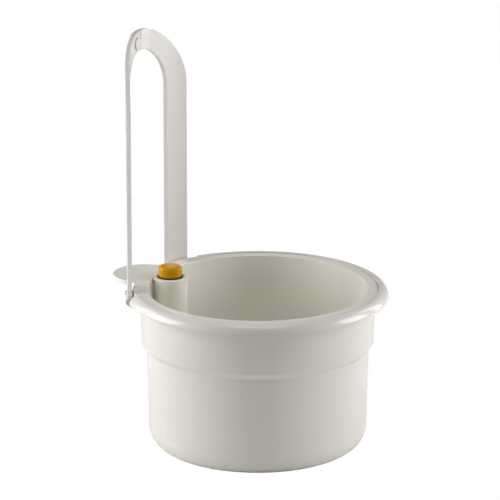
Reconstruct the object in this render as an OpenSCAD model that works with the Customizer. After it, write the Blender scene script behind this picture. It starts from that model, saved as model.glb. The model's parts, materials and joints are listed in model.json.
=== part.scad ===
// Hanging pot with a lift-out liner, a float level gauge
// and a carrying loop made of two hinged arms that clasp at the crest.
// The pot stands on z = 0 around the Z axis. The tab and the loop are on the -X side.

/* [Pot] */
// Outer radius of the rim bead
rim_r = 100; // [88:0.5:125]
// Height of the liner lip above the base
pot_h = 125; // [110:1:170]
// Wall of the outer pot
pot_wall = 2.4; // [1.8:0.1:3]
// Floor of the outer pot
pot_floor = 3; // [2:0.1:4]
// Outer radius of the rounded base corner
base_corner_r = 16.6; // [12:0.1:20]
// Height of the wide upper band, from the lip down
band_h = 41; // [30:0.5:50]
// Height of the step below the band
step_h = 5; // [3:0.5:8]
// How far the wall steps in below the band
step_in = 3.8; // [2.5:0.1:4.5]
// How far the band tapers in over its height
band_draft = 1; // [0.5:0.1:1.5]
// How far the lower wall tapers in over its height
lower_draft = 1.6; // [1:0.1:2]
// Width of the ring that the base stands on
foot_ring_w = 7; // [4:0.5:12]
// Depth of the recess inside the foot ring
foot_ring_h = 0.8; // [0.5:0.1:1.5]
// Radius of the flat pad in the middle of the base
base_pad_r = 14; // [8:0.5:20]

/* [Rim bead] */
// How far the bead stands out from the wall
bead_w = 10.2; // [9.5:0.1:13]
// Radius of the rounded bead
bead_r = 7; // [5.5:0.1:7.5]
// Height of the bead's crest above the lip
bead_rise = 0.8; // [0.4:0.1:1.5]
// Thickness of the bead's hollow shell
bead_shell = 2.2; // [1.6:0.1:2.6]
// Gap between a hinge and the end of the bead
notch_gap = 4.9; // [2:0.1:8]

/* [Liner] */
// Width of the flat flange around the mouth
flange_w = 7.6; // [6.5:0.1:9]
// Thickness of the flange and of the tab
flange_t = 3; // [2.4:0.1:4]
// Gap between the flange and the bead
flange_gap = 0.3; // [0.2:0.1:0.6]
// Gap between the flange and the ledge that it rests on
flange_seat_gap = 0.05; // [0.02:0.01:0.2]
// Wall of the liner
liner_wall = 2; // [1.5:0.1:2.5]
// Depth of the liner below the lip, inside
liner_depth = 82.5; // [70:0.5:88]
// Gap between the liner and the outer pot where the wall steps in
liner_gap = 0.45; // [0.3:0.05:1.5]
// Floor of the liner
liner_floor = 2.5; // [2:0.1:3.5]
// Radius of the liner's inner bottom corner
liner_corner_r = 8; // [5:0.5:10]
// Radius of the round tab
tab_r = 23.6; // [20:0.1:26]
// Distance of the tab's centre from the pot axis, less the rim radius
tab_inset = 4.4; // [3:0.1:10]
// Radius of the fillets beside the tab
tab_fillet_r = 10; // [6:0.5:11]
// How far the plate beside the arms stays inside the arms
plate_gap = 1.6; // [1:0.1:2.5]
// Number of soil wells in the liner floor
well_n = 3; // [2:1:3]
// Distance of the wells from the pot axis
well_at = 42; // [38:0.5:48]
// Outer radius of a well at its top
well_top_r = 18; // [14:0.5:20]
// Outer radius of a well at its bottom
well_foot_r = 15; // [11:0.5:16]
// Clearance under a well
well_gap = 2; // [1:0.5:5]
// Radius of the drain holes
drain_r = 2; // [1:0.1:2.5]

/* [Gauge] */
// Gap between the float's guide tube and the outer pot's wall
shaft_gap = 1.1; // [0.8:0.1:4]
// Outer radius of the shaft column
column_r = 13.4; // [12.6:0.1:14]
// Wall of the shaft column
column_wall = 2; // [1.6:0.1:2.2]
// Outer radius of the collar in the column's top
collar_r = 10.3; // [9.8:0.1:10.8]
// How far the collar stands above the lip
collar_rise = 0.6; // [0.3:0.1:1]
// Radius of the gauge cap
cap_r = 9.15; // [8:0.05:9.6]
// Height of the gauge cap
cap_h = 8; // [7:0.1:10]
// Wall of the gauge cap
cap_wall = 1.6; // [1.2:0.1:2]
// Radius of the gauge stem
stem_r = 1.5; // [1.2:0.1:2]
// Radius of the float
float_r = 5; // [4:0.1:5.2]
// Length of the float
float_l = 40; // [30:0.5:45]
// Travel of the gauge from empty to full
gauge_travel = 22; // [10:1:25]
// Radial clearance around the float
float_gap = 0.5; // [0.3:0.1:0.7]
// Wall of the tube that guides the float
guide_wall = 1.4; // [1:0.1:1.6]
// Gap between a resting gauge part and its seat
seat_gap = 0.3; // [0.2:0.1:0.5]
// Radial running clearance of shafts and pins
run_gap = 0.06; // [0.03:0.01:0.1]

/* [Arms] */
// Half width of the loop, outside
loop_r = 51.7; // [48:0.1:54]
// Half width of the loop, inside
loop_in_r = 34.4; // [33:0.1:36]
// Height of the loop's crest above the lip
loop_h = 192.2; // [160:0.5:220]
// Height of the crest's underside above the lip
loop_in_h = 176.9; // [145:0.1:204]
// Thickness of the arms
arm_t = 3; // [2.6:0.1:3.4]
// How far the arms' outer face lies inside the rim's edge
arm_inset = 0.4; // [0:0.1:1]
// Radius of the hinge pins
pin_r = 1.5; // [1.2:0.1:1.8]
// How far the knuckle stands out from both faces of the arm
knuckle_rise = 0.9; // [0.7:0.1:1.2]
// How far the ears stand out past the knuckle
ear_rise = 0.4; // [0.3:0.1:0.7]
// Thickness of an ear
ear_t = 2.2; // [1.6:0.1:2.6]
// Thickness of a friction washer
washer_t = 0.8; // [0.5:0.1:1]

/* [Crest clasp] */
// Open seam between the two arms at the crest
seam_w = 1; // [0.6:0.1:1.6]
// Length of the lap behind the seam
lap_l = 12; // [10:0.5:13]
// Thickness of the right arm's lap tongue
lap_t = 1.55; // [1.3:0.05:1.7]
// Clearance between the lapped faces
lap_gap = 0.3; // [0.2:0.05:0.4]
// Distance of the stud from the seam's middle
stud_at = 6.5; // [6:0.1:7]
// Radius of the stud's head
stud_head_r = 5; // [4.5:0.1:5.2]
// Thickness of the stud's head
stud_head_t = 1.6; // [1.2:0.1:2]
// Radius of the stud's shank
stud_r = 2.25; // [1.8:0.05:2.5]
// Radius of the push-on retainer
retainer_r = 4.5; // [4:0.1:5]
// Thickness of the push-on retainer
retainer_t = 1.2; // [1:0.1:1.6]

/* [Hidden] */
$fn = 128;
eps = 0.01;
LEFT = 1;
RIGHT = -1;

// outer pot, as radii and heights of its profile
band_top_r = rim_r - bead_w;
band_low_r = band_top_r - band_draft;
lower_top_r = band_low_r - step_in;
base_r = lower_top_r - lower_draft;
step_top_z = pot_h - band_h;
step_low_z = step_top_z - step_h;
flange_z = pot_h - flange_t;
ledge_z = flange_z - flange_seat_gap;
wall_drop = 0.3;
wall_top_z = ledge_z - wall_drop;
inner_corner_r = base_corner_r - pot_wall;
bead_c = [rim_r - bead_r, pot_h + bead_rise - bead_r];
bead_in_offset = 1;
bead_in_r = bead_c[0] - bead_in_offset;
web_bite = 0.4;
bead_end_a = 1.4;
bead_inner_wall = 1.6;

// liner
flange_r = bead_in_r - flange_gap;
mouth_r = flange_r - flange_w;
liner_low_z = pot_h - liner_depth;
liner_step_r = lower_top_r - pot_wall - liner_gap - liner_wall;
liner_slope = (mouth_r - liner_step_r) / (pot_h - step_low_z);
liner_low_r = mouth_r - liner_slope * liner_depth;
well_z = pot_floor + well_gap;
well_wall = 1.8;
well_floor = 2;
drain_margin = 3;
drain_slots = 10;
well_drains = 5;
well_drain_share = 0.8;
tab_at = rim_r - tab_inset;

// arms: a strap that follows the rim
arm_out_r = rim_r - arm_inset;
arm_in_r = arm_out_r - arm_t;
arm_mid_r = arm_out_r - arm_t / 2;
plate_r = arm_in_r - plate_gap;
hinge_a = asin((loop_r + loop_in_r) / 2 / arm_mid_r);
knuckle_r = arm_t / 2 + knuckle_rise;
ear_r = knuckle_r + ear_rise;
ear_drop = 0.6;
hinge_z = flange_z - ear_r - ear_drop;
crest_z = pot_h + loop_h;
arch_z = crest_z - loop_r;
arch_in_z = pot_h + loop_in_h - loop_in_r;
foot_trim = 1.2;
foot_trim_h = ear_r + foot_trim;
washer_play = 0.05;
knuckle_over = 0.3;
knuckle_l = (loop_r - loop_in_r) / 2 / cos(hinge_a) + knuckle_over;
ear_at = knuckle_l + washer_t + 2 * washer_play;
ear_root = 1;
ear_root_x = band_top_r - pot_wall - ear_root - arm_mid_r;
shelf_gap = 0.8;
shelf_h = 3;
pin_head_t = 0.8;
pin_head_step = 0.7;
pin_head_r = pin_r + pin_head_step;
notch_a = hinge_a + asin((ear_at + ear_t + pin_head_t + notch_gap) / arm_mid_r);

// clasp, with X measured outwards from the pot axis
lap_x = arm_mid_r;
stud_drop = 1.5;
stud_web = 1.4;
stud_z = pot_h + (loop_h + loop_in_h) / 2 - stud_drop;
stud_seat_x = lap_x - stud_web;
stud_head_play = 0.3;
stud_slot_play = 0.35;
lap_end_gap = 0.4;
stud_tip_r = 1.6;
press_play = 0.02;
tongue_x = lap_x + lap_gap / 2;
tongue_out_x = tongue_x + lap_t;

// gauge shaft
bore_r = float_r + float_gap;
guide_r = bore_r + guide_wall;
shaft_at = base_r - pot_wall - guide_r - shaft_gap;
guide_sink = 1.2;
guide_over = 18;
guide_foot_z = pot_floor + inner_corner_r - guide_sink;
guide_top_z = liner_low_z + guide_over;
strainer_flange_t = 1.4;
strainer_spigot_h = 2;
float_z = guide_foot_z + strainer_spigot_h + seat_gap;
collar_flange_t = 1.6;
collar_step = 1.2;
collar_spigot_r = collar_r - collar_step;
collar_spigot_h = 4;
column_roof_t = 3.5;
cap_z = pot_h + collar_rise + seat_gap;
stem_grip = 10;
cap_boss_r = 3.2;
cap_round_r = 3;
cap_grip = 5;

// ---- helpers ----

// places children in the frame of one arm's foot: X outwards, Y along the rim, Z up
module at_foot(side) {
    rotate([0, 0, 180 + side * hinge_a])
        translate([arm_mid_r, 0, hinge_z])
            children();
}

// a cylinder along the foot frame's Y from y0 to y1
module along_foot(r, y0, y1) {
    translate([0, y1, 0])
        rotate([90, 0, 0])
            cylinder(r = r, h = y1 - y0);
}

// extrudes a (Y, Z) outline outwards from x0 to x1 on the loop's side
module across_loop(x0, x1) {
    translate([-x1, 0, 0])
        rotate([90, 0, 90])
            linear_extrude(x1 - x0)
                children();
}

// half section of a round cup: a rounded bottom corner, then the wall's points going up
module cup_section(low_r, low_z, corner, wall) {
    corner_z = low_z + corner;
    translate([0, low_z]) square([low_r - corner, corner]);
    translate([low_r - corner, corner_z]) circle(corner);
    polygon(concat([[0, corner_z], [low_r, corner_z]], wall, [[0, wall[len(wall) - 1][1]]]));
}

// ---- outer pot ----

module pot_outline() {
    cup_section(base_r, 0, base_corner_r, [
        [lower_top_r, step_low_z], [band_low_r, step_top_z], [band_top_r, wall_top_z]
    ]);
}

module pot_cavity() {
    cup_section(base_r - pot_wall, pot_floor, inner_corner_r, [
        [lower_top_r - pot_wall, step_low_z], [band_low_r - pot_wall, step_top_z],
        [band_top_r - pot_wall, wall_top_z], [band_top_r - pot_wall, pot_h + 1]
    ]);
}

// half section of the bead, solid, with the web that joins it to the wall
module bead_section() {
    web_x = band_top_r - pot_wall + web_bite;
    intersection() {
        translate(bead_c) circle(bead_r);
        translate([bead_in_r, bead_c[1]]) square([bead_r + 1, bead_r]);
    }
    translate([web_x, ledge_z - bead_shell]) square([bead_c[0] - web_x, bead_shell]);
}

module bead_hollow_section() {
    intersection() {
        translate(bead_c) circle(bead_r - bead_shell);
        translate([bead_in_r + bead_inner_wall, bead_c[1] - 1]) square(bead_r);
    }
}

// runs round the rim from one side of the arms to the other, hollow below, with closed ends
module rim_bead() {
    arc = 360 - 2 * notch_a;
    rotate([0, 0, 180 + notch_a])
        difference() {
            rotate_extrude(angle = arc) bead_section();
            rotate([0, 0, bead_end_a]) rotate_extrude(angle = arc - 2 * bead_end_a) bead_hollow_section();
        }
}

// one ear beside a foot, with a sloping gusset that runs down into the wall
module ear_outline() {
    tangent = [ear_r * cos(60), -ear_r * sin(60)];
    circle(ear_r);
    polygon([
        [ear_root_x, tangent[1] + (ear_root_x - tangent[0]) * tan(30)], tangent,
        [0, 0], [0, ear_r], [ear_root_x, ear_r]
    ]);
}

module hinge_ears(side) {
    shelf_x = -knuckle_r - shelf_gap;
    at_foot(side) {
        for (y = [-ear_at - ear_t, ear_at])
            translate([0, y + ear_t, 0])
                rotate([90, 0, 0])
                    linear_extrude(ear_t) ear_outline();
        translate([ear_root_x, -ear_at - eps, -knuckle_r - shelf_h])
            cube([shelf_x - ear_root_x, 2 * ear_at + 2 * eps, shelf_h]);
    }
}

module outer_pot() {
    color("ivory")
        difference() {
            union() {
                rotate_extrude() pot_outline();
                rim_bead();
                for (side = [LEFT, RIGHT]) hinge_ears(side);
            }
            rotate_extrude() pot_cavity();
            difference() {
                translate([0, 0, -eps])
                    cylinder(r = base_r - base_corner_r - foot_ring_w, h = foot_ring_h + eps);
                translate([0, 0, -2 * eps]) cylinder(r = base_pad_r, h = foot_ring_h + 3 * eps);
            }
            for (side = [LEFT, RIGHT])
                at_foot(side) along_foot(pin_r, -ear_at - ear_t - 1, ear_at + ear_t + 1);
        }
}

module hinge_pin(side) {
    tail = ear_at + ear_t;
    color("silver")
        at_foot(side) {
            along_foot(pin_r, -tail, tail);
            if (side == LEFT) along_foot(pin_head_r, tail, tail + pin_head_t);
            else along_foot(pin_head_r, -tail - pin_head_t, -tail);
        }
}

module hinge_washers(side) {
    color("dimgray")
        at_foot(side)
            for (y = [-ear_at + washer_play, knuckle_l + washer_play])
                difference() {
                    along_foot(knuckle_r, y, y + washer_t);
                    along_foot(pin_r + run_gap, y - 1, y + washer_t + 1);
                }
}

// ---- liner ----

// plan of the flange, the plate between the arms and the round tab
module liner_plan() {
    fillet_d = plate_r + tab_fillet_r;
    tab_d = tab_r + tab_fillet_r;
    fillet_a = acos((pow(fillet_d, 2) + pow(tab_at, 2) - pow(tab_d, 2)) / (2 * fillet_d * tab_at));
    wedge_a = notch_a - 0.5;
    reach = 2 * rim_r;
    circle(flange_r);
    intersection() {
        circle(plate_r);
        polygon([[0, 0], [-reach * cos(wedge_a), reach * sin(wedge_a)],
            [-reach, 0], [-reach * cos(wedge_a), -reach * sin(wedge_a)]]);
    }
    translate([-tab_at, 0]) circle(tab_r);
    for (side = [-1, 1]) {
        fillet_c = [-fillet_d * cos(fillet_a), side * fillet_d * sin(fillet_a)];
        difference() {
            polygon([[0, 0], [-tab_at, 0], fillet_c]);
            translate(fillet_c) circle(tab_fillet_r);
        }
    }
}

// the liner's half section, taken grow larger all round
module liner_cone(grow) {
    cup_section(liner_low_r + grow, liner_low_z - min(grow, liner_floor), liner_corner_r + grow,
        [[mouth_r + grow, pot_h], [mouth_r + grow, pot_h + 1]]);
}

module at_wells() {
    for (i = [0:well_n - 1])
        rotate([0, 0, i * 360 / well_n])
            translate([well_at, 0, well_z])
                children();
}

module drain_holes() {
    // the slot under the gauge shaft stays closed
    ring_r = liner_low_r - liner_corner_r - drain_r - drain_margin;
    for (i = [0:drain_slots - 1])
        if (i * 2 != drain_slots)
            rotate([0, 0, i * 360 / drain_slots])
                translate([ring_r, 0, liner_low_z - liner_floor - 1])
                    cylinder(r = drain_r, h = liner_floor + 2);
    at_wells()
        for (i = [0:well_drains - 1])
            rotate([0, 0, i * 360 / well_drains])
                translate([well_foot_r / 2, 0, -1])
                    cylinder(r = drain_r * well_drain_share, h = well_floor + 3);
}

module at_shaft(z) {
    translate([-shaft_at, 0, z]) children();
}

// the column's hollow, which follows the liner's wall down to its floor
module column_hollow() {
    roof_z = pot_h - column_roof_t;
    intersection() {
        at_shaft(liner_low_z) cylinder(r = column_r - column_wall, h = roof_z - liner_low_z);
        rotate_extrude() liner_cone(0);
    }
    at_shaft(roof_z - 1) cylinder(r = collar_spigot_r, h = column_roof_t + 2);
    at_shaft(pot_h - collar_flange_t) cylinder(r = collar_r, h = collar_flange_t + 1);
}

module liner() {
    well_h = liner_low_z - well_z;
    color("white")
        difference() {
            union() {
                difference() {
                    union() {
                        translate([0, 0, flange_z]) linear_extrude(flange_t) liner_plan();
                        rotate_extrude()
                            intersection() {
                                liner_cone(liner_wall);
                                square([rim_r, pot_h]);
                            }
                        at_wells() cylinder(r1 = well_foot_r, r2 = well_top_r, h = well_h);
                    }
                    // the soil space goes round the column and down into the wells
                    difference() {
                        rotate_extrude() liner_cone(0);
                        at_shaft(0) cylinder(r = column_r, h = pot_h + 2);
                    }
                    at_wells()
                        translate([0, 0, well_floor])
                            cylinder(r1 = well_foot_r - well_wall, r2 = well_top_r - well_wall, h = well_h);
                    column_hollow();
                    drain_holes();
                }
                at_shaft(guide_foot_z) cylinder(r = guide_r, h = guide_top_z - guide_foot_z);
            }
            at_shaft(guide_foot_z - 1) cylinder(r = bore_r, h = guide_top_z - guide_foot_z + 2);
        }
}

module shaft_collar() {
    color("saddlebrown")
        at_shaft(pot_h - collar_flange_t)
            difference() {
                union() {
                    cylinder(r = collar_r, h = collar_flange_t + collar_rise);
                    translate([0, 0, -collar_spigot_h]) cylinder(r = collar_spigot_r, h = collar_spigot_h + eps);
                }
                translate([0, 0, -collar_spigot_h - 1]) cylinder(r = stem_r + run_gap, h = collar_spigot_h + 5);
            }
}

module shaft_strainer() {
    hole_r = 1.1;
    plate_h = strainer_flange_t + strainer_spigot_h;
    color("dimgray")
        at_shaft(guide_foot_z - strainer_flange_t)
            difference() {
                union() {
                    cylinder(r = guide_r, h = strainer_flange_t);
                    cylinder(r = bore_r, h = plate_h);
                }
                for (i = [0:3])
                    rotate([0, 0, i * 90])
                        translate([bore_r * 0.55, 0, -1])
                            cylinder(r = hole_r, h = plate_h + 2);
            }
}

// ---- gauge ----

module cap_section() {
    square([cap_r, cap_h - cap_round_r]);
    square([cap_r - cap_round_r, cap_h]);
    translate([cap_r - cap_round_r, cap_h - cap_round_r]) circle(cap_round_r);
}

module gauge_cap() {
    color("goldenrod")
        at_shaft(cap_z)
            difference() {
                rotate_extrude() intersection() {
                    cap_section();
                    square([cap_r, cap_h]);
                }
                difference() {
                    translate([0, 0, -1]) cylinder(r = cap_r - cap_wall, h = cap_h - cap_wall);
                    cylinder(r = cap_boss_r, h = cap_h);
                }
                translate([0, 0, -1]) cylinder(r = cap_boss_r + 1, h = 1.5);
                translate([0, 0, -1]) cylinder(r = stem_r, h = cap_grip + 1);
            }
}

module gauge_stem() {
    foot_z = float_z + float_l - stem_grip;
    color("white")
        at_shaft(foot_z) cylinder(r = stem_r, h = cap_z + cap_grip - foot_z);
}

module gauge_float() {
    edge_r = 1.2;
    color("whitesmoke")
        at_shaft(float_z)
            difference() {
                rotate_extrude() intersection() {
                    union() {
                        translate([0, edge_r]) square([float_r, float_l - 2 * edge_r]);
                        square([float_r - edge_r, float_l]);
                        for (z = [edge_r, float_l - edge_r])
                            translate([float_r - edge_r, z]) circle(edge_r);
                    }
                    square([float_r, float_l]);
                }
                translate([0, 0, float_l - stem_grip]) cylinder(r = stem_r, h = stem_grip + 1);
            }
}

// ---- arms ----

// the whole loop, seen from the pot axis: X is along the rim, Y is height
module loop_outline() {
    difference() {
        union() {
            translate([0, arch_z]) circle(loop_r);
            translate([-loop_r, hinge_z]) square([2 * loop_r, arch_z - hinge_z]);
        }
        translate([0, arch_in_z]) circle(loop_in_r);
        translate([-loop_in_r, hinge_z - 1]) square([2 * loop_in_r, arch_in_z - hinge_z + 1]);
    }
}

// the loop's outline between two places along the rim
module loop_part(y0, y1) {
    intersection() {
        loop_outline();
        translate([y0, hinge_z - 1]) square([y1 - y0, crest_z]);
    }
}

// a curved strap with a knuckle at its foot; children are cut from it
module arm(side) {
    y_end = seam_w / 2;
    y_far = loop_r + 1;
    difference() {
        union() {
            difference() {
                intersection() {
                    across_loop(arm_in_r - 20, rim_r + 2)
                        if (side == LEFT) loop_part(-y_far, -y_end);
                        else loop_part(y_end, y_far);
                    difference() {
                        cylinder(r = arm_out_r, h = crest_z + 2);
                        translate([0, 0, -1]) cylinder(r = arm_in_r, h = crest_z + 4);
                    }
                }
                at_foot(side)
                    for (y = [-knuckle_l - 3, knuckle_l])
                        translate([-5, y, -1]) cube([10, 3, foot_trim_h + 1]);
            }
            at_foot(side) along_foot(knuckle_r, -knuckle_l, knuckle_l);
        }
        at_foot(side) along_foot(pin_r + run_gap, -knuckle_l - 1, knuckle_l + 1);
    }
}

module arm_left() {
    lap_cut_x = lap_x - lap_gap / 2;
    lap_end = lap_l + lap_end_gap;
    color("ivory")
        difference() {
            arm(LEFT);
            translate([-rim_r - 5, -lap_end, crest_z - 30])
                cube([rim_r + 5 - lap_cut_x, lap_end, 35]);
            across_loop(arm_in_r - 4, stud_seat_x)
                translate([-stud_at, stud_z]) circle(stud_head_r + stud_head_play);
            across_loop(arm_in_r - 4, rim_r + 2)
                translate([-stud_at, stud_z]) circle(stud_r + press_play);
        }
}

module arm_right() {
    slot_r = stud_r + stud_slot_play;
    root_l = 2;
    color("ivory") {
        arm(RIGHT);
        across_loop(tongue_x, tongue_out_x)
            difference() {
                loop_part(-lap_l, root_l);
                translate([-stud_at, stud_z]) circle(slot_r);
                translate([-lap_l - 1, stud_z - slot_r]) square([lap_l + 1 - stud_at, 2 * slot_r]);
            }
    }
}

module crest_stud() {
    shank_end_x = tongue_out_x + lap_gap;
    color("gainsboro")
        translate([0, -stud_at, stud_z])
            rotate([0, -90, 0]) {
                translate([0, 0, stud_seat_x - stud_head_t]) cylinder(r = stud_head_r, h = stud_head_t);
                translate([0, 0, stud_seat_x - eps]) cylinder(r = stud_r, h = shank_end_x - stud_seat_x + eps);
                translate([0, 0, shank_end_x - eps]) cylinder(r = stud_tip_r, h = retainer_t + eps);
            }
}

module crest_retainer() {
    color("gainsboro")
        translate([0, -stud_at, stud_z])
            rotate([0, -90, 0])
                translate([0, 0, tongue_out_x + lap_gap])
                    difference() {
                        cylinder(r = retainer_r, h = retainer_t);
                        translate([0, 0, -1]) cylinder(r = stud_tip_r, h = retainer_t + 2);
                    }
}

outer_pot();
hinge_pin(LEFT);  // hinge_pin_left
hinge_pin(RIGHT);  // hinge_pin_right
hinge_washers(LEFT);  // hinge_washers_left
hinge_washers(RIGHT);  // hinge_washers_right
liner();
shaft_collar();
shaft_strainer();
gauge_cap();
gauge_stem();
gauge_float();
arm_left();
arm_right();
crest_stud();
crest_retainer();
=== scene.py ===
import json
import math

import bmesh
import bpy
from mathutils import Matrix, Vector

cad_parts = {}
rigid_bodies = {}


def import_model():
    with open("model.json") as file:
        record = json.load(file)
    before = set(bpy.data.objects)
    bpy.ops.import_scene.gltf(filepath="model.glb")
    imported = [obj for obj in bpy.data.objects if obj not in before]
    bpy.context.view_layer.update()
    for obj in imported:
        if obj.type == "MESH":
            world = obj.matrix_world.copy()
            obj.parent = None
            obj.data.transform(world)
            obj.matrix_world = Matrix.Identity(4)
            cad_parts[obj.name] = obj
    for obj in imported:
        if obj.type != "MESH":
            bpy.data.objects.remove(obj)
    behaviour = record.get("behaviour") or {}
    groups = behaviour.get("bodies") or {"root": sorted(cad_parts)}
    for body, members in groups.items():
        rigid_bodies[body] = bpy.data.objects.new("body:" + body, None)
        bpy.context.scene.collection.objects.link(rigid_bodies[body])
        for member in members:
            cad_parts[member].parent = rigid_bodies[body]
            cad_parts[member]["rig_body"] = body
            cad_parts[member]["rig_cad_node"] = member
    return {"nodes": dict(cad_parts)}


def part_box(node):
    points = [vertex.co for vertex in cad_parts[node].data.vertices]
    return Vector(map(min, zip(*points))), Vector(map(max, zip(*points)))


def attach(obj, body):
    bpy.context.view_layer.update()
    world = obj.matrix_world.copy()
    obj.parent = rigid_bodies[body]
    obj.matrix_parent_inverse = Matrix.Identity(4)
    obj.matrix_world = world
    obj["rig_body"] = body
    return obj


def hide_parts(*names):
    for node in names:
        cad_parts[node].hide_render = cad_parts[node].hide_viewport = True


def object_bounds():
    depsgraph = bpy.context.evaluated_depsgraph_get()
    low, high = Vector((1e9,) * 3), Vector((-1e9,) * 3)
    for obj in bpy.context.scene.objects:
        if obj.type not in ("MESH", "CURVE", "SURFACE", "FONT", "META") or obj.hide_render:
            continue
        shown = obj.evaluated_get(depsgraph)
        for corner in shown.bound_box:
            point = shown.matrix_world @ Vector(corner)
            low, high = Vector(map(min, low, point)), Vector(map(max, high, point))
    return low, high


# A hanging pot with a lift-out liner, a float gauge under an amber cap and a loop of two
# hinged arms that clasp at the crest. The moulded parts are the CAD solids with their
# edges rounded, because a mould leaves no sharp edge.

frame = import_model()
cad_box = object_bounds()
MM = 0.001

pot_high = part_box("outer_pot")[1]
liner_low, liner_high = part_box("liner")
cap_low, cap_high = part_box("gauge_cap")
stud_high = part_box("crest_stud")[1]
lip_z = liner_high.z
shaft = (cap_low + cap_high) / 2
pot_axis = Vector()
rim_r = pot_high.x


# ---- modelling helpers ----

MERGE_GAP = 0.01 * MM
SHORT_EDGE = 0.06 * MM
FLAT_ANGLE = math.radians(0.3)
SMOOTH_ANGLE = math.radians(35)


def only(obj):
    """Selects one object and makes it the active one."""
    bpy.ops.object.select_all(action="DESELECT")
    obj.select_set(True)
    bpy.context.view_layer.objects.active = obj


def from_node(node, name):
    """A mesh of its own in the shape of a CAD node, merged, with its flat faces made whole."""
    only(frame["nodes"][node])
    bpy.ops.object.duplicate()
    obj = bpy.context.active_object
    obj.name = name
    obj.data.name = name
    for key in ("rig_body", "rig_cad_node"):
        del obj[key]
    world = obj.matrix_world.copy()
    obj.parent = None
    obj.matrix_world = world
    obj.data.materials.clear()
    bpy.ops.object.mode_set(mode="EDIT")
    bpy.ops.mesh.select_mode(type="EDGE")
    bpy.ops.mesh.select_all(action="SELECT")
    bpy.ops.mesh.customdata_custom_splitnormals_clear()
    bpy.ops.mesh.remove_doubles(threshold=MERGE_GAP)
    bpy.ops.mesh.dissolve_degenerate(threshold=SHORT_EDGE)
    bpy.ops.mesh.dissolve_limited(angle_limit=FLAT_ANGLE)
    bpy.ops.mesh.select_all(action="DESELECT")
    bpy.ops.object.mode_set(mode="OBJECT")
    return obj


def everywhere(point):
    return True


def round_edges(obj, radius, test, steps=3, sharp=28):
    """Bevels the edges turned by more than sharp degrees whose two ends pass the test."""
    only(obj)
    bpy.ops.object.mode_set(mode="EDIT")
    bpy.ops.mesh.select_mode(type="EDGE")
    bpy.ops.mesh.select_all(action="DESELECT")
    mesh = bmesh.from_edit_mesh(obj.data)
    found = False
    for edge in mesh.edges:
        if not edge.is_manifold or edge.calc_face_angle() < math.radians(sharp):
            continue
        if all(test(vert.co) for vert in edge.verts):
            edge.select_set(True)
            found = True
    bmesh.update_edit_mesh(obj.data)
    if found:
        bpy.ops.mesh.bevel(offset=radius, segments=steps, affect="EDGES", clamp_overlap=True)
    bpy.ops.mesh.select_all(action="DESELECT")
    bpy.ops.object.mode_set(mode="OBJECT")


def finish_piece(obj, node, body, material):
    """Shades a piece, gives it its material and puts it in the place of its CAD node."""
    only(obj)
    bpy.ops.object.shade_smooth_by_angle(angle=SMOOTH_ANGLE)
    flat = obj.modifiers.new("flat faces stay flat", "WEIGHTED_NORMAL")
    flat.keep_sharp = True
    obj.data.materials.append(material)
    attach(obj, body)
    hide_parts(node)


def from_axis(point, centre):
    """Distance of a point from the upright line through a centre."""
    return math.hypot(point.x - centre.x, point.y - centre.y)


# ---- materials ----

class Finish:
    """A procedural finish on Object coordinates, built node by node."""

    def __init__(self, name, roughness, specular=0.5):
        self.material = bpy.data.materials.new(name)
        self.material.use_nodes = True
        self.tree = self.material.node_tree
        self.shader = self.tree.nodes["Principled BSDF"]
        self.shader.inputs["Roughness"].default_value = roughness
        self.shader.inputs["Specular IOR Level"].default_value = specular
        self.place = self.tree.nodes.new("ShaderNodeTexCoord").outputs["Object"]

    def link(self, source, target):
        self.tree.links.new(source, target)

    def noise(self, scale, detail=3.0, stretch=(1, 1, 1)):
        mapping = self.tree.nodes.new("ShaderNodeMapping")
        mapping.inputs["Scale"].default_value = stretch
        self.link(self.place, mapping.inputs["Vector"])
        node = self.tree.nodes.new("ShaderNodeTexNoise")
        node.inputs["Scale"].default_value = scale
        node.inputs["Detail"].default_value = detail
        self.link(mapping.outputs["Vector"], node.inputs["Vector"])
        return node.outputs["Fac"]

    def ramp(self, value, low, high, low_to, high_to):
        node = self.tree.nodes.new("ShaderNodeMapRange")
        node.inputs["From Min"].default_value = low
        node.inputs["From Max"].default_value = high
        node.inputs["To Min"].default_value = low_to
        node.inputs["To Max"].default_value = high_to
        self.link(value, node.inputs["Value"])
        return node.outputs["Result"]

    def blend(self, share, first, second):
        """Mixes two colours, each a colour or another node's output."""
        node = self.tree.nodes.new("ShaderNodeMix")
        node.data_type = "RGBA"
        self.link(share, node.inputs["Factor"])
        for socket, colour in ((node.inputs[6], first), (node.inputs[7], second)):
            if isinstance(colour, tuple):
                socket.default_value = (*colour, 1)
            else:
                self.link(colour, socket)
        return node.outputs[2]

    def add(self, first, second):
        node = self.tree.nodes.new("ShaderNodeMath")
        node.operation = "ADD"
        self.link(first, node.inputs[0])
        self.link(second, node.inputs[1])
        return node.outputs[0]

    def bump(self, heights, strength, distance):
        normal = None
        for height in heights:
            node = self.tree.nodes.new("ShaderNodeBump")
            node.inputs["Strength"].default_value = strength
            node.inputs["Distance"].default_value = distance
            self.link(height, node.inputs["Height"])
            if normal:
                self.link(normal, node.inputs["Normal"])
            normal = node.outputs["Normal"]
        self.link(normal, self.shader.inputs["Normal"])


CLOUD_SCALE = 18
CLOUD_SHARE = 0.8
# Flow lines of the moulding; on the amber cap they are stretched into horizontal darker bands, a
# painted reflection.
FLOW_AND_REFLECTION_SCALE = 70
FLOW_AND_REFLECTION_SHARE = 0.3
RUB_SCALE = 420
RUB_STRETCH = (1, 1, 0.12)
RUB_SHARE = 0.16
RUB_ROUGHNESS = 0.05
HAZE_SCALE = 30
RIPPLE_SCALE = 30
GRAIN_SCALE = 1400
SKIN_STRENGTH = 0.08
SKIN_DEPTH = 0.05 * MM


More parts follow.
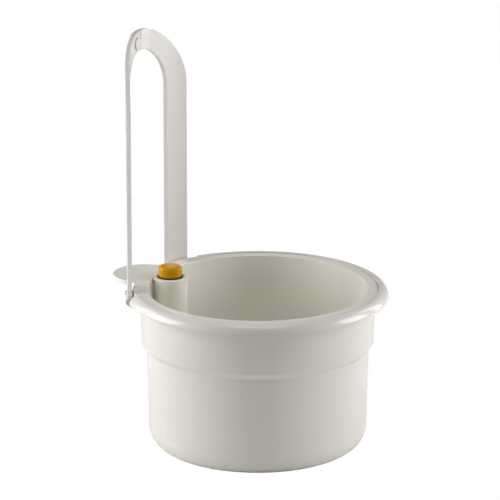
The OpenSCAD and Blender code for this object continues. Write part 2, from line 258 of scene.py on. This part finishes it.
def moulded(name, colour, shade, scuff, roughness=0.2, flow_and_reflection_stretch=(1, 1, 0.15), specular=0.5):
    """Moulded plastic: cloudy tint, faint lines where the melt flowed, light rub marks and a soft
    ripple. On the amber cap these lines are stretched into horizontal darker bands of painted
    reflection.
    """
    f = Finish(name, roughness, specular)
    cloud = f.ramp(f.noise(CLOUD_SCALE, 2), 0.3, 0.7, 0, CLOUD_SHARE)
    # Flow lines in the darker tone; with the amber cap's stretch they lie as horizontal bands of
    # painted reflection.
    lines = f.ramp(f.noise(FLOW_AND_REFLECTION_SCALE, 3, flow_and_reflection_stretch), 0.45, 0.75, 0, FLOW_AND_REFLECTION_SHARE)
    rubbed = f.ramp(f.noise(RUB_SCALE, 5, RUB_STRETCH), 0.66, 0.82, 0, RUB_SHARE)
    tint = f.blend(cloud, colour, shade)
    tint = f.blend(lines, tint, shade)
    tint = f.blend(rubbed, tint, scuff)
    f.link(tint, f.shader.inputs["Base Color"])
    worn = f.ramp(rubbed, 0, RUB_SHARE, roughness, roughness + RUB_ROUGHNESS)
    haze = f.ramp(f.noise(HAZE_SCALE, 3), 0.3, 0.7, -0.015, 0.02)
    f.link(f.add(worn, haze), f.shader.inputs["Roughness"])
    f.bump([f.noise(RIPPLE_SCALE, 1), f.noise(GRAIN_SCALE, 2)], SKIN_STRENGTH, SKIN_DEPTH)
    return f.material


cream = moulded(
    "cream_gloss_plastic",
    (0.74, 0.715, 0.68),
    (0.715, 0.69, 0.65),
    (0.77, 0.75, 0.72),
    roughness=0.15,
)
cream_liner = moulded(
    "cream_liner_plastic",
    (0.81, 0.795, 0.725),
    (0.795, 0.78, 0.705),
    (0.83, 0.82, 0.77),
    roughness=0.19,
)
cream_arm = moulded(
    "cream_arm_plastic",
    (0.70, 0.68, 0.655),
    (0.675, 0.655, 0.625),
    (0.74, 0.72, 0.70),
    flow_and_reflection_stretch=(0.3, 0.3, 0.06),
)
# The cap's flow lines are stretched into horizontal darker bands: painted reflection.
amber = moulded(
    "amber_cap_plastic",
    (0.60, 0.285, 0.0),
    (0.50, 0.225, 0.0),
    (0.68, 0.36, 0.01),
    roughness=0.19,
    flow_and_reflection_stretch=(0.5, 0.5, 3),
    specular=0.14,
)
dark_rubber = moulded(
    "dark_collar_rubber",
    (0.05, 0.03, 0.015),
    (0.035, 0.02, 0.01),
    (0.1, 0.07, 0.05),
    roughness=0.5,
)
grey_strainer = moulded(
    "grey_strainer_plastic",
    (0.2, 0.2, 0.19),
    (0.16, 0.16, 0.15),
    (0.3, 0.3, 0.29),
    roughness=0.45,
)
stem_white = moulded(
    "white_stem_plastic",
    (0.68, 0.67, 0.62),
    (0.62, 0.61, 0.56),
    (0.75, 0.74, 0.7),
    roughness=0.4,
)
washer_grey = moulded(
    "grey_washer_plastic",
    (0.06, 0.06, 0.06),
    (0.04, 0.04, 0.04),
    (0.12, 0.12, 0.12),
    roughness=0.5,
)


def foam():
    """Closed-cell foam of the float: fine beads with dark joints between them."""
    f = Finish("white_float_foam", 0.7, 0.3)
    cells = f.tree.nodes.new("ShaderNodeTexVoronoi")
    cells.inputs["Scale"].default_value = 700
    f.link(f.place, cells.inputs["Vector"])
    joints = f.ramp(cells.outputs["Distance"], 0.3, 0.7, 0, 1)
    tint = f.blend(joints, (0.78, 0.77, 0.73), (0.62, 0.61, 0.57))
    f.link(tint, f.shader.inputs["Base Color"])
    f.link(f.ramp(f.noise(60), 0.3, 0.7, 0.6, 0.8), f.shader.inputs["Roughness"])
    f.bump([cells.outputs["Distance"]], 0.4, 0.15 * MM)
    return f.material


def drawn_steel():
    """Drawn steel of the hinge pins, with fine lines along the wire."""
    f = Finish("drawn_steel_pin", 0.3)
    f.shader.inputs["Metallic"].default_value = 1.0
    lines = f.noise(900, 4, (0.3, 1, 1))
    tint = f.blend(lines, (0.5, 0.5, 0.49), (0.68, 0.68, 0.67))
    f.link(tint, f.shader.inputs["Base Color"])
    f.link(f.ramp(lines, 0.3, 0.7, 0.22, 0.42), f.shader.inputs["Roughness"])
    f.bump([lines], 0.15, 0.03 * MM)
    return f.material


white_foam = foam()
steel = drawn_steel()


# ---- outer pot ----

STEP_BAND = (0.55, 0.75)
BEAD_TOP_DEPTH = 1.5 * MM
BEAD_DEPTH = 8 * MM
BEAD_WIDTH = 4 * MM
FOOT_RISE = 2 * MM


def make_pot():
    pot = from_node("outer_pot", "pot_shell")
    step_low = pot_high.z * STEP_BAND[0]
    step_high = pot_high.z * STEP_BAND[1]
    bead_top = pot_high.z - BEAD_TOP_DEPTH
    bead_foot = pot_high.z - BEAD_DEPTH

    def at_step(point):
        return step_low < point.z < step_high

    def on_top(point):
        return point.z > bead_top

    def on_bead(point):
        return bead_foot < point.z < bead_top and from_axis(point, pot_axis) > rim_r - BEAD_WIDTH

    def at_foot(point):
        return point.z < FOOT_RISE

    round_edges(pot, 0.55 * MM, at_step, steps=4)
    round_edges(pot, 0.5 * MM, on_top, steps=4)
    round_edges(pot, 0.35 * MM, on_bead, steps=3)
    round_edges(pot, 0.3 * MM, at_foot, steps=2)
    finish_piece(pot, "outer_pot", "pot", cream)


# ---- liner ----

LIP_PLAY = 0.01 * MM
COLUMN_CLEARANCE = 12 * MM
FLANGE_UNDERSIDE = (3.2 * MM, 2.5 * MM)
FLANGE_WIDTH = 12 * MM
WELL_DEPTH = 37.5 * MM
WELL_PLAY = 0.5 * MM


def make_liner():
    liner = from_node("liner", "liner_shell")
    under_low = lip_z - FLANGE_UNDERSIDE[0]
    under_high = lip_z - FLANGE_UNDERSIDE[1]
    well_z = liner_low.z + WELL_DEPTH

    def at_mouth(point):
        return point.z > lip_z - LIP_PLAY and from_axis(point, shaft) > COLUMN_CLEARANCE

    def below_flange(point):
        return under_low < point.z < under_high and from_axis(point, pot_axis) > rim_r - FLANGE_WIDTH

    def at_well_mouth(point):
        return abs(point.z - well_z) < WELL_PLAY

    round_edges(liner, 0.7 * MM, at_mouth, steps=4)
    round_edges(liner, 0.4 * MM, below_flange, steps=2)
    round_edges(liner, 0.5 * MM, at_well_mouth, steps=3)
    finish_piece(liner, "liner", "liner", cream_liner)


# ---- loop, clasp and gauge ----

STUD_BUTTON_DEPTH = 2 * MM
CAP_FOOT_RISE = 0.1 * MM


def make_arms():
    for side in ("left", "right"):
        arm = from_node(f"arm_{side}", f"arm_{side}_strap")
        round_edges(arm, 0.45 * MM, everywhere, steps=3, sharp=40)
        finish_piece(arm, f"arm_{side}", f"arm_{side}", cream_arm)


def make_clasp():
    def on_button(point):
        return point.x > stud_high.x - STUD_BUTTON_DEPTH

    stud = from_node("crest_stud", "crest_stud_button")
    round_edges(stud, 0.5 * MM, on_button, steps=4)
    finish_piece(stud, "crest_stud", "arm_left", cream_arm)
    retainer = from_node("crest_retainer", "crest_retainer_ring")
    round_edges(retainer, 0.3 * MM, everywhere, steps=3)
    finish_piece(retainer, "crest_retainer", "arm_left", cream_arm)


def make_gauge():
    def at_cap_foot(point):
        return point.z < cap_low.z + CAP_FOOT_RISE

    cap = from_node("gauge_cap", "gauge_cap_button")
    round_edges(cap, 0.25 * MM, at_cap_foot, steps=3)
    finish_piece(cap, "gauge_cap", "gauge", amber)
    collar = from_node("shaft_collar", "shaft_collar_ring")
    round_edges(collar, 0.2 * MM, everywhere, steps=2)
    finish_piece(collar, "shaft_collar", "liner", dark_rubber)


make_pot()
make_liner()
make_arms()
make_clasp()
make_gauge()

for node, material in (
    ("shaft_strainer", grey_strainer),
    ("gauge_stem", stem_white),
    ("gauge_float", white_foam),
    ("hinge_pin_left", steel),
    ("hinge_pin_right", steel),
    ("hinge_washers_left", washer_grey),
    ("hinge_washers_right", washer_grey),
):
    carried = frame["nodes"][node]
    carried.data.materials.clear()
    carried.data.materials.append(material)


# ---- floor, light and camera ----

WHITE = (1, 1, 1, 1)
FLOOR_SIZE = 12
FLOOR_GAP = 0.05 * MM
FLOOR_COLOUR = (0.88, 0.87, 0.86, 1)
FLOOR_WHITE_SHARE = 0.995
AMBIENT = 0.16
CAMERA_AZIMUTH = 23.1
CAMERA_ELEVATION = 16.7
CAMERA_DISTANCE = 3.353
CAMERA_LENS = 316.8
CAMERA_SENSOR = 36
AIM_LEFT = 5.9
AIM_UP = 28.5


def pale_floor():
    """A pale diffuse floor that keeps the shadow and is nearly white to the camera itself."""
    bpy.ops.object.select_all(action="DESELECT")
    bpy.ops.mesh.primitive_plane_add(size=FLOOR_SIZE, location=(0, 0, cad_box[0].z - FLOOR_GAP))
    floor = bpy.context.active_object
    floor.name = "floor"
    material = bpy.data.materials.new("pale_floor")
    material.use_nodes = True
    tree = material.node_tree
    diffuse = tree.nodes["Principled BSDF"]
    diffuse.inputs["Base Color"].default_value = FLOOR_COLOUR
    diffuse.inputs["Roughness"].default_value = 0.9
    diffuse.inputs["Specular IOR Level"].default_value = 0.1
    white = tree.nodes.new("ShaderNodeEmission")
    white.inputs["Strength"].default_value = 1.0
    seen = tree.nodes.new("ShaderNodeLightPath")
    share = tree.nodes.new("ShaderNodeMath")
    share.operation = "MULTIPLY"
    share.inputs[1].default_value = FLOOR_WHITE_SHARE
    mix = tree.nodes.new("ShaderNodeMixShader")
    tree.links.new(seen.outputs["Is Camera Ray"], share.inputs[0])
    tree.links.new(share.outputs[0], mix.inputs["Fac"])
    tree.links.new(diffuse.outputs["BSDF"], mix.inputs[1])
    tree.links.new(white.outputs["Emission"], mix.inputs[2])
    tree.links.new(mix.outputs["Shader"], tree.nodes["Material Output"].inputs["Surface"])
    floor.data.materials.append(material)


def plain_world():
    """White to the camera, and a weak even light to everything else."""
    world = bpy.data.worlds.new("studio")
    bpy.context.scene.world = world
    world.use_nodes = True
    tree = world.node_tree
    around = tree.nodes["Background"]
    around.inputs["Color"].default_value = WHITE
    around.inputs["Strength"].default_value = AMBIENT
    white = tree.nodes.new("ShaderNodeBackground")
    white.inputs["Color"].default_value = WHITE
    white.inputs["Strength"].default_value = 1.0
    seen = tree.nodes.new("ShaderNodeLightPath")
    mix = tree.nodes.new("ShaderNodeMixShader")
    tree.links.new(seen.outputs["Is Camera Ray"], mix.inputs["Fac"])
    tree.links.new(around.outputs["Background"], mix.inputs[1])
    tree.links.new(white.outputs["Background"], mix.inputs[2])
    tree.links.new(mix.outputs["Shader"], tree.nodes["World Output"].inputs["Surface"])


def direction(azimuth, elevation):
    """Unit vector from the pot towards a place round it, by the camera's own angles."""
    turn = math.radians(azimuth)
    rise = math.radians(elevation)
    return Vector((
        math.sin(turn) * math.cos(rise),
        -math.cos(turn) * math.cos(rise),
        math.sin(rise),
    ))


def softbox(name, turn, elevation, distance, width, height, power):
    """An area lamp facing the rim, turned round the pot from the camera's azimuth."""
    centre = Vector((0, 0, lip_z))
    towards = direction(CAMERA_AZIMUTH + turn, elevation)
    lamp = bpy.data.lights.new(name, "AREA")
    lamp.shape = "RECTANGLE"
    lamp.size = width
    lamp.size_y = height
    lamp.energy = power
    obj = bpy.data.objects.new(name, lamp)
    obj.location = centre + towards * distance
    obj.rotation_euler = (-towards).to_track_quat("-Z", "Y").to_euler()
    bpy.context.scene.collection.objects.link(obj)


def place_camera():
    data = bpy.data.cameras.new("camera")
    data.sensor_width = CAMERA_SENSOR
    data.lens = CAMERA_LENS
    camera = bpy.data.objects.new("camera", data)
    back = direction(CAMERA_AZIMUTH, CAMERA_ELEVATION)
    turn = math.radians(CAMERA_AZIMUTH)
    right = Vector((math.cos(turn), math.sin(turn), 0))
    up = back.cross(right)
    aim = Vector((0, 0, lip_z)) - right * AIM_LEFT * MM + up * AIM_UP * MM
    camera.location = aim + back * CAMERA_DISTANCE
    camera.rotation_mode = "QUATERNION"
    camera.rotation_quaternion = (-back).to_track_quat("-Z", "Y")
    bpy.context.scene.collection.objects.link(camera)
    bpy.context.scene.camera = camera


pale_floor()
plain_world()
softbox("left_softbox", -90, 8, 1.4, 0.9, 1.4, 23)
softbox("right_softbox", 90, 8, 1.4, 0.7, 1.4, 18)
softbox("left_rear_strip", -120, 10, 1.3, 0.25, 1.4, 4)
softbox("right_rear_strip", 124, 10, 1.3, 0.3, 1.4, 5)
softbox("top_softbox", 0, 78, 1.7, 1.0, 1.0, 7)
place_camera()
bpy.context.scene.view_settings.view_transform = "Standard"
